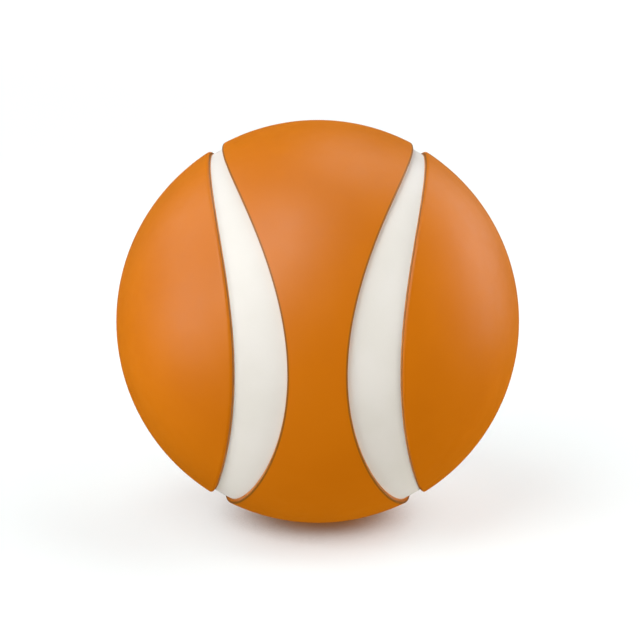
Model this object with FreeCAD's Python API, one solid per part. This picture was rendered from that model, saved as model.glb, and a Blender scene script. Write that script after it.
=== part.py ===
"""Two-colour table tennis ball, 40 mm across, as an assembly of nine pieces.

A hollow white core is cemented together from two half shells. Three orange panels are bonded
onto it: a cap on the left, a cap on the right and an hourglass band between them. The core shows
between the panels as two recessed white bands.

Millimetres. The origin is the ball's centre, +Z is up, -Y is the front. The caps' common axis is
X. A place on the ball is given by its latitude, measured from the plane x = 0, and its bearing,
measured about X from the front towards the top.
"""
import FreeCAD, Part
import math
import os

# Driving dimensions
BALL_DIAMETER = 40.0
RECESS_DEPTH = 0.45  # from the panels' surface down to the white core
GLUE_THICKNESS = 0.05  # the bond film between a panel and the core
GLUE_OVERHANG = 0.06  # how far the bond film shows beyond a panel's edge
CORE_WALL = 0.30
CAP_RIM_ROUNDING = 0.30
BAND_RIM_ROUNDING = 0.10

# Latitude of each panel edge, in degrees, at the front, half-way up and at the top
CAP_EDGE = (23.25, 28.4, 32.3)
BAND_EDGE = (8.0, 18.5, 27.9)

# The lapped joint between the two core halves, hidden under the centre band
LIP_LENGTH = 1.0  # how far the left half's lip reaches into the right half
LIP_THICKNESS = 0.30
LIP_CLEARANCE = 0.10  # filled with cement
LIP_LEAD_IN = 0.12  # the chamfer on the lip's free end
CEMENT_FILM = 0.05  # between the butted edges of the halves

# Worked out from the above
BALL_RADIUS = BALL_DIAMETER / 2
CORE_RADIUS = BALL_RADIUS - RECESS_DEPTH
PANEL_INNER_RADIUS = CORE_RADIUS + GLUE_THICKNESS
CAVITY_RADIUS = CORE_RADIUS - CORE_WALL
LIP_OUTER_RADIUS = CAVITY_RADIUS - LIP_CLEARANCE
OVERHANG_ANGLE = math.degrees(GLUE_OVERHANG / CORE_RADIUS)

SECTIONS = 48  # cross-sections in one turn of a lofted panel
DOME_LATITUDE = math.radians(45)  # a cap is an exact sphere from here to its pole
JOIN_TOLERANCE = 1e-4

LEFT, RIGHT = -1, 1
CENTRE = FreeCAD.Vector(0, 0, 0)
X_AXIS = FreeCAD.Vector(1, 0, 0)


def edge_latitude(edge, bearing):
    """Latitude of a panel edge at a bearing, in radians, for an edge that repeats every half turn."""
    front, half_way, top = edge
    end_mean = (front + top) / 2
    mean = (end_mean + half_way) / 2
    swing = (top - front) / 2
    fullness = (half_way - end_mean) / 2
    return math.radians(mean - swing * math.cos(2 * bearing) - fullness * math.cos(4 * bearing))


def place(radius, latitude, bearing):
    return FreeCAD.Vector(
        radius * math.sin(latitude),
        -radius * math.cos(latitude) * math.cos(bearing),
        radius * math.cos(latitude) * math.sin(bearing),
    )


def arc_on_sphere(radius, start, end, bearing):
    """An arc of constant bearing between two latitudes."""
    middle = (start + end) / 2
    return Part.Arc(*(place(radius, angle, bearing) for angle in (start, middle, end))).toShape()


def line(start, end):
    return Part.LineSegment(start, end).toShape()


def rim(outer, inner, latitude, facing, rounding, bearing):
    """A panel's rim in section, from its outer surface down to its inner one.

    The rim is a radial wall at the given latitude, rounded off at the top. It faces larger
    latitudes (+1) or smaller ones (-1). Also returns the latitude where the rounding starts.
    """
    if not rounding:
        return [line(place(outer, latitude, bearing), place(inner, latitude, bearing))], latitude
    arc_radius = outer - rounding  # distance of the rounding's centre from the ball's centre
    set_back = math.asin(rounding / arc_radius)
    start = latitude - facing * set_back
    arc_centre = place(arc_radius, start, bearing)
    wall_direction = latitude + facing * math.pi / 2
    halfway = arc_centre + place(rounding, (start + wall_direction) / 2, bearing)
    wall_top = place(arc_radius * math.cos(set_back), latitude, bearing)
    corner = Part.Arc(place(outer, start, bearing), halfway, wall_top).toShape()
    return [corner, line(wall_top, place(inner, latitude, bearing))], start


def loft_round_x(section):
    """A solid ring through the closed sections that section(bearing) gives for a full turn."""
    bearings = [2 * math.pi * step / SECTIONS for step in range(SECTIONS)]
    return Part.makeLoft([Part.Wire(section(bearing)) for bearing in bearings], True, False, True)


def band_layer(outer, inner, edge, rounding):
    """A ring-shaped panel or film, the same on the left and the right of the plane x = 0."""

    def section(bearing):
        latitude = edge_latitude(edge, bearing)
        right_rim, right_start = rim(outer, inner, latitude, RIGHT, rounding, bearing)
        left_rim, left_start = rim(outer, inner, -latitude, LEFT, rounding, bearing)
        top = arc_on_sphere(outer, left_start, right_start, bearing)
        bottom = arc_on_sphere(inner, latitude, -latitude, bearing)
        return [top] + right_rim + [bottom] + left_rim[::-1]

    return loft_round_x(section)


def cap_layer(outer, inner, edge, rounding, side):
    """A cap-shaped panel or film: an exact dome joined to a lofted ring that ends at the edge."""
    join = side * DOME_LATITUDE
    pole = side * math.pi / 2

    def ring_section(bearing):
        latitude = side * edge_latitude(edge, bearing)
        cap_rim, start = rim(outer, inner, latitude, -side, rounding, bearing)
        top = arc_on_sphere(outer, join, start, bearing)
        bottom = arc_on_sphere(inner, latitude, join, bearing)
        closing = line(place(inner, join, bearing), place(outer, join, bearing))
        return [top] + cap_rim + [bottom, closing]

    dome_outline = [
        arc_on_sphere(outer, join, pole, 0),
        line(place(outer, pole, 0), place(inner, pole, 0)),
        arc_on_sphere(inner, pole, join, 0),
        line(place(inner, join, 0), place(outer, join, 0)),
    ]
    dome = Part.Face(Part.Wire(dome_outline)).revolve(CENTRE, X_AXIS, 360)
    return loft_round_x(ring_section).fuse([dome], JOIN_TOLERANCE)


def panel(edge, rounding, side=None):
    """An orange panel; without a side it is the centre band."""
    if side is None:
        return band_layer(BALL_RADIUS, PANEL_INNER_RADIUS, edge, rounding)
    return cap_layer(BALL_RADIUS, PANEL_INNER_RADIUS, edge, rounding, side)


def bond_film(edge, side=None):
    """The adhesive under a panel, wider than the panel by what was squeezed out all round."""
    if side is None:
        wider = [latitude + OVERHANG_ANGLE for latitude in edge]
        return band_layer(PANEL_INNER_RADIUS, CORE_RADIUS, wider, 0)
    wider = [latitude - OVERHANG_ANGLE for latitude in edge]
    return cap_layer(PANEL_INNER_RADIUS, CORE_RADIUS, wider, 0, side)


def sphere(radius):
    return Part.makeSphere(radius, CENTRE, X_AXIS)


def slab(x_from, x_to):
    """Everything between two planes square to X."""
    size = BALL_DIAMETER * 1.2
    return Part.makeBox(x_to - x_from, size, size, FreeCAD.Vector(x_from, -size / 2, -size / 2))


def core_layer(x_from, x_to):
    """The core's wall between two planes square to X."""
    return sphere(CORE_RADIUS).cut(sphere(CAVITY_RADIUS)).common(slab(x_from, x_to))


def lip():
    """The locating ring inside the left half, with its root running out into the wall."""
    inner = LIP_OUTER_RADIUS - LIP_THICKNESS
    root = CAVITY_RADIUS + CORE_WALL / 2
    run_out = -LIP_LENGTH - LIP_THICKNESS
    outline = [
        (run_out, root),
        (run_out, root - CORE_WALL / 4),
        (-LIP_LENGTH, inner),
        (LIP_LENGTH, inner),
        (LIP_LENGTH, LIP_OUTER_RADIUS - LIP_LEAD_IN),
        (LIP_LENGTH - LIP_LEAD_IN, LIP_OUTER_RADIUS),
        (0, LIP_OUTER_RADIUS),
        (0, root),
    ]
    corners = [FreeCAD.Vector(x, 0, radius) for x, radius in outline]
    return Part.Face(Part.makePolygon(corners + corners[:1])).revolve(CENTRE, X_AXIS, 360)


def core_shell_left():
    return core_layer(-BALL_DIAMETER, 0).fuse(lip()).removeSplitter()


def core_shell_right():
    """The plain half, which slides over the lip."""
    return core_layer(CEMENT_FILM, BALL_DIAMETER)


def seam_cement():
    """Fills the butt joint between the halves and the clearance around the lip."""
    lip_core = Part.makeCylinder(LIP_OUTER_RADIUS, BALL_DIAMETER, CENTRE, X_AXIS)
    sleeve = sphere(CAVITY_RADIUS).common(slab(0, LIP_LENGTH - LIP_LEAD_IN)).cut(lip_core)
    return core_layer(0, CEMENT_FILM).fuse(sleeve).removeSplitter()


def build():
    return {
        "core_shell_left": core_shell_left(),
        "core_shell_right": core_shell_right(),
        "seam_cement": seam_cement(),
        "left_cap_adhesive": bond_film(CAP_EDGE, LEFT),
        "right_cap_adhesive": bond_film(CAP_EDGE, RIGHT),
        "centre_band_adhesive": bond_film(BAND_EDGE),
        "left_cap": panel(CAP_EDGE, CAP_RIM_ROUNDING, LEFT),
        "right_cap": panel(CAP_EDGE, CAP_RIM_ROUNDING, RIGHT),
        "centre_band": panel(BAND_EDGE, BAND_RIM_ROUNDING),
    }


def main():
    os.makedirs("parts", exist_ok=True)
    for name, shape in build().items():
        if not shape.isValid() or len(shape.Solids) != 1:
            raise RuntimeError(name + " is not one valid solid")
        solid = shape.Solids[0]
        solid.exportStep("parts/" + name + ".step")
        print(name, round(solid.Volume, 2), "mm3")


main()
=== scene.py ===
import math

import bmesh
import bpy
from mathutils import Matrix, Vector


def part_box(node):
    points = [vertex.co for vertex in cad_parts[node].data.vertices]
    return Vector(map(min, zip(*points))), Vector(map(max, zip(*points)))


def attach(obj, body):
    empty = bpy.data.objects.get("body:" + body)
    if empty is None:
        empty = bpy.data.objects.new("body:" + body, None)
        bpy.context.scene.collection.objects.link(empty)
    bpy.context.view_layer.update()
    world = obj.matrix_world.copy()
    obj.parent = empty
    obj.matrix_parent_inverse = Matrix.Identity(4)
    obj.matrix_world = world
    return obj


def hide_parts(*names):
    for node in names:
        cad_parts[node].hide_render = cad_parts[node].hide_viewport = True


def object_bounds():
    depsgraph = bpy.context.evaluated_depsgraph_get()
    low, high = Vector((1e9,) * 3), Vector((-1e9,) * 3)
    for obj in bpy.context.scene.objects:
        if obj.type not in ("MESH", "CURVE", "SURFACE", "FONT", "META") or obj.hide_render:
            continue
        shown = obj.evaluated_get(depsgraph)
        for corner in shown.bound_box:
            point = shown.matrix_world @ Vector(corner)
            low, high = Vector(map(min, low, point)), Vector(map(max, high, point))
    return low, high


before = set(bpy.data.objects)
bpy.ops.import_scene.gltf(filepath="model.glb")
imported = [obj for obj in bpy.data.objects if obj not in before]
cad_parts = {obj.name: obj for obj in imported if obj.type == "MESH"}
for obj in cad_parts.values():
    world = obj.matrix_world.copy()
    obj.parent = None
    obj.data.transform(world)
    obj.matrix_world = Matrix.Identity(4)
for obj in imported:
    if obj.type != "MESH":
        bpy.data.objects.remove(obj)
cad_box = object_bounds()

MM = 0.001

# ---------------------------------------------------------------- sizes of the ball, in metres
BALL_RADIUS = (cad_box[1].x - cad_box[0].x) / 2
CORE_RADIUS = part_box("core_shell_left")[1].z
PANEL_INNER_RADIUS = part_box("centre_band_adhesive")[1].z
LIP_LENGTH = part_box("core_shell_left")[1].x
CEMENT_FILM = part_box("core_shell_right")[0].x
CORE_WALL = 0.30 * MM
CAVITY_RADIUS = CORE_RADIUS - CORE_WALL
LIP_CLEARANCE = 0.10 * MM
LIP_OUTER_RADIUS = CAVITY_RADIUS - LIP_CLEARANCE
LIP_THICKNESS = 0.30 * MM
LIP_LEAD_IN = 0.12 * MM

# Latitude of each panel edge, from the plane x = 0, in degrees: at the front, half-way, at the top
CAP_EDGE = (23.25, 28.4, 32.3)
BAND_EDGE = (8.0, 18.5, 27.9)
CAP_RIM_ROUNDING = 0.30 * MM
BAND_RIM_ROUNDING = 0.10 * MM

# The bead of adhesive squeezed out at the foot of each panel's wall
BEAD_WIDTH = 0.05 * MM
BEAD_HEIGHT = 0.09 * MM

# ---------------------------------------------------------------- mesh resolution
DOME_CELLS = 72  # cells along each side of a dome's square grid
TURN_STEPS = 4 * DOME_CELLS  # steps round the X axis
ROUNDING_STEPS = 10
BEAD_STEPS = 6
DOME_LATITUDE = math.radians(45)
SUPPORT = 0.05 * MM / BALL_RADIUS  # angle of the row that keeps a rim's shading off the panel
EDGE_GAP = "edge_gap"  # the name of the mesh attribute that the band's painted edge shade is drawn from


# ---------------------------------------------------------------- sections
# A section is a list of (x, radius) points in the half-plane of one bearing, where the radius is
# measured from the X axis. A bearing runs from the front towards the top.
def edge_latitude(edge, bearing):
    front, half_way, top = edge
    end_mean = (front + top) / 2
    mean = (end_mean + half_way) / 2
    swing = (top - front) / 2
    fullness = (half_way - end_mean) / 2
    return math.radians(mean - swing * math.cos(2 * bearing) - fullness * math.cos(4 * bearing))


def polar(radius, latitude):
    return (radius * math.sin(latitude), radius * math.cos(latitude))


def added(a, b):
    return (a[0] + b[0], a[1] + b[1])


def arc(radius, start, end, steps):
    """Points at one distance from the ball's centre, both ends included."""
    return [polar(radius, start + (end - start) * i / steps) for i in range(steps + 1)]


def rim(latitude, facing, rounding):
    """A panel's rim from its outer surface down to its foot, and the latitude where it starts.

    The rim faces larger latitudes (facing 1) or smaller ones (facing -1).
    """
    arc_radius = BALL_RADIUS - rounding
    set_back = math.asin(rounding / arc_radius)
    start = latitude - facing * set_back
    wall_direction = latitude + facing * math.pi / 2
    centre = polar(arc_radius, start)
    points = []
    for i in range(ROUNDING_STEPS + 1):
        direction = start + (wall_direction - start) * i / ROUNDING_STEPS
        points.append(added(centre, polar(rounding, direction)))
    wall_top = arc_radius * math.cos(set_back)
    for share in (0.12, 0.5, 1.0):
        points.append(polar(wall_top + (PANEL_INNER_RADIUS - wall_top) * share, latitude))
    return points, start


def outer_face(start, end, supports, steps):
    """The panel's outer surface. A support row stands in for the end point at a rounded rim."""
    lead = SUPPORT if end > start else -SUPPORT
    low = start + lead * supports[0]
    high = end - lead * supports[1]
    return arc(BALL_RADIUS, low, high, steps)


def band_section(bearing):
    latitude = edge_latitude(BAND_EDGE, bearing)
    right, right_start = rim(latitude, 1, BAND_RIM_ROUNDING)
    left, left_start = rim(-latitude, -1, BAND_RIM_ROUNDING)
    top = outer_face(left_start, right_start, (True, True), 36)
    bottom = arc(PANEL_INNER_RADIUS, latitude, -latitude, 24)[1:-1]
    return top + right + bottom + left[::-1]


def cap_section(side):
    def section(bearing):
        latitude = side * edge_latitude(CAP_EDGE, bearing)
        wall, start = rim(latitude, -side, CAP_RIM_ROUNDING)
        top = outer_face(side * DOME_LATITUDE, start, (False, True), 24)
        bottom = arc(PANEL_INNER_RADIUS, latitude, side * DOME_LATITUDE, 12)[1:]
        return top + wall + bottom

    return section


def bead(latitude, facing):
    """The adhesive's free edge: a hollow curve from the panel's wall down to the core."""
    width = BEAD_WIDTH / CORE_RADIUS
    foot = latitude + facing * width
    points = []
    for i in range(BEAD_STEPS + 1):
        share = i / BEAD_STEPS
        rise = BEAD_HEIGHT * (1 - math.sqrt(1 - (1 - share) ** 2))
        points.append(polar(CORE_RADIUS + rise, latitude + (foot - latitude) * share))
    return points


def band_film_section(bearing):
    latitude = edge_latitude(BAND_EDGE, bearing)
    right = bead(latitude, 1)
    left = bead(-latitude, -1)
    top = arc(PANEL_INNER_RADIUS, -latitude, latitude, 24)
    bottom = arc(CORE_RADIUS, latitude, -latitude, 24)
    return top + right + bottom + left[::-1]


def cap_film_section(side):
    def section(bearing):
        latitude = side * edge_latitude(CAP_EDGE, bearing)
        top = arc(PANEL_INNER_RADIUS, side * DOME_LATITUDE, latitude, 12)
        bottom = arc(CORE_RADIUS, latitude, side * DOME_LATITUDE, 12)
        return top + bead(latitude, -side) + bottom

    return section


def left_core_section(_):
    lip_inner = LIP_OUTER_RADIUS - LIP_THICKNESS
    run_out = math.sqrt(CAVITY_RADIUS**2 - (LIP_LENGTH + LIP_THICKNESS) ** 2)
    run_out_latitude = -math.asin((LIP_LENGTH + LIP_THICKNESS) / CAVITY_RADIUS)
    lip = [
        (0, LIP_OUTER_RADIUS),
        (LIP_LENGTH - LIP_LEAD_IN, LIP_OUTER_RADIUS),
        (LIP_LENGTH, LIP_OUTER_RADIUS - LIP_LEAD_IN),
        (LIP_LENGTH, lip_inner),
        (-LIP_LENGTH, lip_inner),
        (-LIP_LENGTH - LIP_THICKNESS, run_out),
    ]
    outer = arc(CORE_RADIUS, -DOME_LATITUDE, 0, 48)
    inner = arc(CAVITY_RADIUS, run_out_latitude, -DOME_LATITUDE, 24)[1:]
    return outer + lip + inner


def right_core_section(_):
    outer_end = math.asin(CEMENT_FILM / CORE_RADIUS)
    inner_end = math.asin(CEMENT_FILM / CAVITY_RADIUS)
    outer = arc(CORE_RADIUS, DOME_LATITUDE, outer_end, 48)
    return outer + arc(CAVITY_RADIUS, inner_end, DOME_LATITUDE, 24)


# ---------------------------------------------------------------- meshes
def place(x, radius, bearing):
    return (x, -radius * math.cos(bearing), radius * math.sin(bearing))


def dome_grid(side, radius, rim_index, vertices, faces):
    """Closes a ring of vertices at the dome's latitude with a square grid bent onto the sphere."""
    index = {}
    half = DOME_CELLS / 2
    for row in range(DOME_CELLS + 1):
        for column in range(DOME_CELLS + 1):
            a, b = column / half - 1, row / half - 1
            if a == 0 and b == 0:
                share, bearing = 0, 0
            elif abs(a) > abs(b):
                share, bearing = abs(a), math.pi / 4 * b / a + (math.pi if a < 0 else 0)
            else:
                share, bearing = abs(b), math.pi / 2 - math.pi / 4 * a / b + (math.pi if b < 0 else 0)
            if row in (0, DOME_CELLS) or column in (0, DOME_CELLS):
                step = round(bearing / (2 * math.pi) * TURN_STEPS) % TURN_STEPS
                index[row, column] = rim_index(step)
                continue
            latitude = math.pi / 2 - share * (math.pi / 2 - DOME_LATITUDE)
            x, distance = polar(radius, latitude)
            index[row, column] = len(vertices)
            vertices.append(place(side * x, distance, bearing))
    for row in range(DOME_CELLS):
        for column in range(DOME_CELLS):
            corners = ((row, column), (row, column + 1), (row + 1, column + 1), (row + 1, column))
            faces.append([index[corner] for corner in corners])


def turned_piece(name, section, dome_side=0, sharp_degrees=40):
    """A solid made of sections round the X axis; with a dome side, both its ends meet a dome."""
    vertices, faces = [], []
    for step in range(TURN_STEPS):
        bearing = 2 * math.pi * step / TURN_STEPS
        points = section(bearing)
        vertices += [place(x, radius, bearing) for x, radius in points]
    count = len(points)
    for step in range(TURN_STEPS):
        here, there = step * count, (step + 1) % TURN_STEPS * count
        for i in range(count - 1 if dome_side else count):
            j = (i + 1) % count
            faces.append((here + i, here + j, there + j, there + i))
    if dome_side:
        outer, inner = (math.hypot(*points[i]) for i in (0, -1))
        dome_grid(dome_side, outer, lambda step: step * count, vertices, faces)
        dome_grid(dome_side, inner, lambda step: step * count + count - 1, vertices, faces)
    return mesh_piece(name, vertices, faces, sharp_degrees)


def mesh_piece(name, vertices, faces, sharp_degrees):
    """A smooth-shaded object with a hard edge wherever two faces meet at more than the angle."""
    mesh = bpy.data.meshes.new(name)
    mesh.from_pydata(vertices, [], faces)
    piece = bpy.data.objects.new(name, mesh)
    bpy.context.scene.collection.objects.link(piece)
    make_normals_outward(mesh)
    mesh.shade_smooth()
    mesh.set_sharp_from_angle(angle=math.radians(sharp_degrees))
    return piece


def mark_edge_gap(piece):
    """Stores how far each vertex of the centre band lies inside the band's edge."""
    gaps = piece.data.attributes.new(EDGE_GAP, "FLOAT", "POINT")
    for vertex, gap in zip(piece.data.vertices, gaps.data):
        x, y, z = vertex.co
        latitude = math.atan2(abs(x), math.hypot(y, z))
        gap.value = (edge_latitude(BAND_EDGE, math.atan2(z, -y)) - latitude) * BALL_RADIUS


def make_normals_outward(mesh):
    work = bmesh.new()
    work.from_mesh(mesh)
    bmesh.ops.recalc_face_normals(work, faces=work.faces)
    work.to_mesh(mesh)
    work.free()


# ---------------------------------------------------------------- materials
def linear(red, green, blue):
    """A colour given as 0-255 display values, as the linear values the shader wants."""

    def channel(value):
        share = value / 255
        return share / 12.92 if share <= 0.04045 else ((share + 0.055) / 1.055) ** 2.4

    return (channel(red), channel(green), channel(blue), 1)


class Nodes:
    """A small helper that adds shader nodes to one material."""

    def __init__(self, name):
        self.material = bpy.data.materials.new(name)
        self.material.use_nodes = True
        self.tree = self.material.node_tree
        self.shader = self.tree.nodes["Principled BSDF"]

    def add(self, kind, **values):
        node = self.tree.nodes.new(kind)
        for key, value in values.items():
            setattr(node, key, value)
        return node

    def link(self, source, target):
        self.tree.links.new(source, target)

    def object_place(self):
        return self.add("ShaderNodeTexCoord").outputs["Object"]

    def noise(self, size, detail=3.0, roughness=0.5):
        """Noise whose features are about size metres across."""
        node = self.add("ShaderNodeTexNoise")
        node.inputs["Scale"].default_value = 1 / size
        node.inputs["Detail"].default_value = detail
        node.inputs["Roughness"].default_value = roughness
        self.link(self.object_place(), node.inputs["Vector"])
        return node.outputs["Fac"]

    def ramp(self, value, low, high, to_low=0.0, to_high=1.0):
        node = self.add("ShaderNodeMapRange")
        node.interpolation_type = "SMOOTHSTEP"
        for key, number in (
            ("From Min", low),
            ("From Max", high),
            ("To Min", to_low),
            ("To Max", to_high),
        ):
            node.inputs[key].default_value = number
        self.link(value, node.inputs["Value"])
        return node.outputs["Result"]

    def mix(self, factor, first, second):
        node = self.add("ShaderNodeMix", data_type="RGBA")
        self.link(factor, node.inputs["Factor"])
        for socket, colour in ((node.inputs["A"], first), (node.inputs["B"], second)):
            if isinstance(colour, tuple):
                socket.default_value = colour
            else:
                self.link(colour, socket)
        return node.outputs["Result"]

    def distance_from_centre(self):
        node = self.add("ShaderNodeVectorMath", operation="LENGTH")
        self.link(self.object_place(), node.inputs[0])
        return node.outputs["Value"]

    def attribute(self, name):
        return self.add("ShaderNodeAttribute", attribute_name=name).outputs["Fac"]

    def larger(self, first, second):
        node = self.add("ShaderNodeMath", operation="MAXIMUM")
        self.link(first, node.inputs[0])
        self.link(second, node.inputs[1])
        return node.outputs["Value"]

    def bump(self, height, depth, strength=1.0):
        node = self.add("ShaderNodeBump")
        node.inputs["Distance"].default_value = depth
        node.inputs["Strength"].default_value = strength
        self.link(height, node.inputs["Height"])
        self.link(node.outputs["Normal"], self.shader.inputs["Normal"])


def orange_panel(name, add_painted_edge_shade):
    """Satin moulded plastic with a brown line of painted shade along its edge, where the mask that
    the given function builds is 0.
    """
    nodes = Nodes(name)
    base = linear(204, 116, 10)
    deeper = linear(201, 113, 8)
    cloud = nodes.ramp(nodes.noise(9 * MM, 2.0), 0.35, 0.65)
    body = nodes.mix(cloud, base, deeper)
    # Painted shade: this brown darkens the panel's edge where its rim and wall turn away from the
    # light.
    line = linear(145, 91, 28)
    colour = nodes.mix(add_painted_edge_shade(nodes), line, body)
    nodes.link(colour, nodes.shader.inputs["Base Color"])
    roughness = nodes.ramp(nodes.noise(1.6 * MM, 3.0), 0.3, 0.7, 0.42, 0.48)
    nodes.link(roughness, nodes.shader.inputs["Roughness"])
    nodes.shader.inputs["Specular IOR Level"].default_value = 0.4
    nodes.shader.inputs["Diffuse Roughness"].default_value = 0.6
    nodes.bump(nodes.noise(0.16 * MM, 2.0), 0.002 * MM)
    return nodes.material


def painted_shade_down_the_wall(nodes):
    """The caps' painted shade: a brown line on the lower part of the rim."""
    distance = nodes.distance_from_centre()
    return nodes.ramp(distance, BALL_RADIUS - 0.22 * MM, BALL_RADIUS - 0.15 * MM)


def painted_shade_round_the_face(nodes):
    """The band's painted shade: a brown line on a narrow border of its outer surface and the upper
    part of the rim.
    """
    face = nodes.ramp(nodes.attribute(EDGE_GAP), 0.15 * MM, 0.22 * MM)
    distance = nodes.distance_from_centre()
    lower_wall = nodes.ramp(distance, BALL_RADIUS - 0.20 * MM, BALL_RADIUS - 0.13 * MM, 1.0, 0.0)
    return nodes.larger(face, lower_wall)


def white_core():
    """Matte moulded plastic, a little warm."""
    nodes = Nodes("white_core")
    cloud = nodes.ramp(nodes.noise(6 * MM, 2.0), 0.35, 0.65)
    colour = nodes.mix(cloud, linear(233, 231, 227), linear(230, 228, 223))
    nodes.link(colour, nodes.shader.inputs["Base Color"])
    roughness = nodes.ramp(nodes.noise(1.2 * MM, 3.0), 0.3, 0.7, 0.5, 0.58)
    nodes.link(roughness, nodes.shader.inputs["Roughness"])
    nodes.shader.inputs["Diffuse Roughness"].default_value = 1.0
    nodes.bump(nodes.noise(0.12 * MM, 2.0), 0.002 * MM)
    return nodes.material


def adhesive():
    """Light brown, and slightly glossy."""
    nodes = Nodes("adhesive")
    cloud = nodes.ramp(nodes.noise(0.8 * MM, 2.0), 0.35, 0.65)
    colour = nodes.mix(cloud, linear(206, 138, 70), linear(192, 124, 60))
    nodes.link(colour, nodes.shader.inputs["Base Color"])
    roughness = nodes.ramp(nodes.noise(0.5 * MM, 2.0), 0.3, 0.7, 0.35, 0.5)
    nodes.link(roughness, nodes.shader.inputs["Roughness"])
    return nodes.material


def cement():
    """Cream-coloured. It joins the core's halves and is never seen."""
    nodes = Nodes("cement")
    cloud = nodes.ramp(nodes.noise(1.0 * MM, 2.0), 0.35, 0.65)
    colour = nodes.mix(cloud, linear(230, 226, 208), linear(218, 212, 190))
    nodes.link(colour, nodes.shader.inputs["Base Color"])
    roughness = nodes.ramp(nodes.noise(0.6 * MM, 2.0), 0.3, 0.7, 0.3, 0.45)
    nodes.link(roughness, nodes.shader.inputs["Roughness"])
    return nodes.material


# ---------------------------------------------------------------- the ball
def show(piece, node, material):
    """Puts a finished piece in place of its CAD node."""
    piece.data.materials.append(material)
    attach(piece, "root")
    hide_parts(node)


def build_ball():
    cap_orange = orange_panel("orange_cap", painted_shade_down_the_wall)
    band_orange = orange_panel("orange_band", painted_shade_round_the_face)
    white, glue = white_core(), adhesive()
    for side, word in ((-1, "left"), (1, "right")):
        cap = turned_piece(word + "_cap_panel", cap_section(side), side)
        show(cap, word + "_cap", cap_orange)
        film = turned_piece(word + "_cap_bond", cap_film_section(side), side)
        show(film, word + "_cap_adhesive", glue)
    band = turned_piece("centre_band_panel", band_section)
    mark_edge_gap(band)
    show(band, "centre_band", band_orange)
    film = turned_piece("centre_band_bond", band_film_section)
    show(film, "centre_band_adhesive", glue)
    left = turned_piece("core_half_left", left_core_section, -1)
    show(left, "core_shell_left", white)
    right = turned_piece("core_half_right", right_core_section, 1)
    show(right, "core_shell_right", white)
    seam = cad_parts["seam_cement"]
    seam.data.materials.clear()
    seam.data.materials.append(cement())


# ---------------------------------------------------------------- studio
CAMERA_DISTANCE = 12 * BALL_RADIUS
CAMERA_ELEVATION = math.radians(14.5)
CAMERA_LENS = 135.5  # on a 36 mm sensor
FRAMING_OFFSET = (0.23 * MM, 0.13 * MM)  # the ball stands this far left of and below the middle

VIEW_BACK = Vector((0, -math.cos(CAMERA_ELEVATION), math.sin(CAMERA_ELEVATION)))
VIEW_RIGHT = Vector((1, 0, 0))
VIEW_UP = VIEW_BACK.cross(VIEW_RIGHT)

FLOOR_REACH = 3.0
SOFTBOX_SIZE = 0.36
SOFTBOX_DISTANCE = 0.60
NEUTRAL = (1.0, 1.0, 1.0)
WARM = (1.0, 0.965, 0.90)
# Name, azimuth, elevation, watts and colour of each softbox, and whether it shows as a highlight
SOFTBOXES = (
    ("left_back", -110, 35, 0.8, NEUTRAL, True),
    ("left_front", -40, 35, 1.35, NEUTRAL, True),
    ("left_top", -40, 62, 1.7, NEUTRAL, True),
    ("left_side", -75, 8, 1.35, NEUTRAL, True),
    ("right_side", 110, 8, 0.75, NEUTRAL, True),
    ("right_back", 130, 24, 0.6, NEUTRAL, True),
    ("back_top", 150, 62, 0.75, NEUTRAL, True),
    ("fill_right", 75, 50, 1.6, NEUTRAL, False),
    ("fill_back_low", -170, -20, 2.6, WARM, False),
    ("fill_left_low", -60, -28, 1.35, WARM, False),
    ("fill_front", 10, -20, 1.3, WARM, False),
    ("fill_right_low", 78, -28, 3.1, WARM, False),
)


def add_camera():
    data = bpy.data.cameras.new("camera")
    data.sensor_width = 36
    data.lens = CAMERA_LENS
    data.clip_start = 0.01
    camera = bpy.data.objects.new("camera", data)
    bpy.context.scene.collection.objects.link(camera)
    target = VIEW_RIGHT * FRAMING_OFFSET[0] + VIEW_UP * FRAMING_OFFSET[1]
    camera.location = target + VIEW_BACK * CAMERA_DISTANCE
    camera.rotation_euler = VIEW_BACK.to_track_quat("Z", "Y").to_euler()
    bpy.context.scene.camera = camera


def add_softbox(name, azimuth, elevation, watts, colour, in_gloss):
    """A square soft light that faces the ball. The azimuth runs from the front to the right.

    Without in_gloss it makes no highlight, which also takes switching multiple importance off.
    """
    data = bpy.data.lights.new(name, "AREA")
    data.shape = "SQUARE"
    data.size = SOFTBOX_SIZE
    data.energy = watts
    data.color = colour
    light = bpy.data.objects.new(name, data)
    bpy.context.scene.collection.objects.link(light)
    light.visible_camera = False
    light.visible_glossy = in_gloss
    data.cycles.use_multiple_importance_sampling = in_gloss
    turn, rise = math.radians(azimuth), math.radians(elevation)
    reach = math.cos(rise)
    towards = Vector((reach * math.sin(turn), -reach * math.cos(turn), math.sin(rise)))
    light.location = towards * SOFTBOX_DISTANCE
    light.rotation_euler = towards.to_track_quat("Z", "Y").to_euler()


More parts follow.
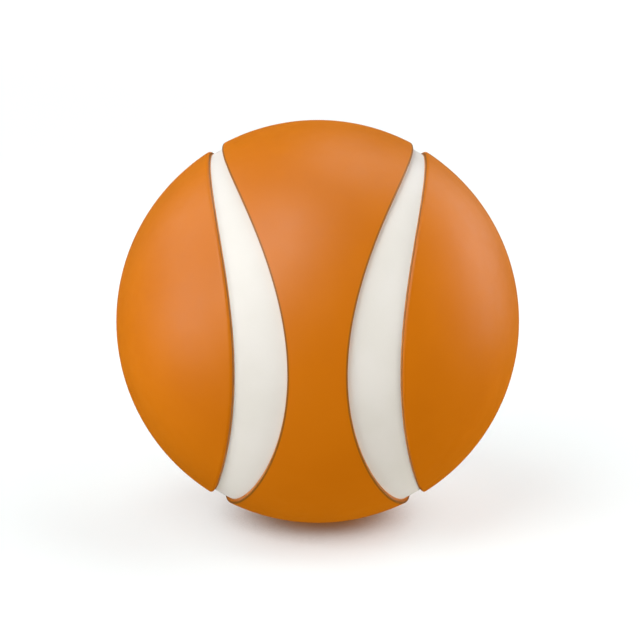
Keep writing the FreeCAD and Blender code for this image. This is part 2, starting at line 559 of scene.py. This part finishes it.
def add_floor():
    """A floor that takes light and shadow and sends no light to the ball.

    It also glows softly, which is painted light, and the glow fades out under the ball as a painted
    shadow, where little of the room is seen.
    """
    level = -BALL_RADIUS
    quadrants = ((-1, -1), (1, -1), (1, 1), (-1, 1))
    corners = [(x * FLOOR_REACH, y * FLOOR_REACH, level) for x, y in quadrants]
    mesh = bpy.data.meshes.new("floor")
    mesh.from_pydata(corners, [], [(0, 1, 2, 3)])
    floor = bpy.data.objects.new("floor", mesh)
    bpy.context.scene.collection.objects.link(floor)
    floor.visible_diffuse = False
    floor.visible_glossy = False
    floor.visible_shadow = False
    nodes = Nodes("floor")
    nodes.shader.inputs["Base Color"].default_value = (0.40, 0.44, 0.44, 1)
    nodes.shader.inputs["Roughness"].default_value = 0.8
    nodes.shader.inputs["Specular IOR Level"].default_value = 0.1
    nodes.shader.inputs["Emission Color"].default_value = (1, 1, 1, 1)
    # Painted light and shadow: the glow is strongest where the floor is open and fades to nothing
    # under the ball.
    openness = nodes.add("ShaderNodeAmbientOcclusion", samples=16)
    openness.inputs["Distance"].default_value = 12 * MM
    glow = nodes.ramp(openness.outputs["AO"], 0.05, 0.30, 0.0, 0.55)
    nodes.link(glow, nodes.shader.inputs["Emission Strength"])
    mesh.materials.append(nodes.material)


def add_backdrop_light():
    """A wide lamp that hangs over the floor behind the ball and shines straight down on it."""
    data = bpy.data.lights.new("backdrop", "AREA")
    data.shape = "RECTANGLE"
    data.size = 6.0
    data.size_y = 1.6
    data.energy = 128.0
    data.spread = math.radians(70)
    light = bpy.data.objects.new("backdrop", data)
    bpy.context.scene.collection.objects.link(light)
    light.location = (0, 1.5, 1.0)
    light.visible_camera = False
    light.visible_glossy = False


def add_world(strength):
    world = bpy.data.worlds.new("studio")
    world.use_nodes = True
    background = world.node_tree.nodes["Background"]
    background.inputs["Color"].default_value = (1, 1, 1, 1)
    background.inputs["Strength"].default_value = strength
    bpy.context.scene.world = world


def build_studio():
    bpy.context.scene.view_settings.view_transform = "Standard"
    add_camera()
    add_floor()
    add_world(0.01)
    add_backdrop_light()
    for softbox in SOFTBOXES:
        add_softbox(*softbox)


build_ball()
build_studio()
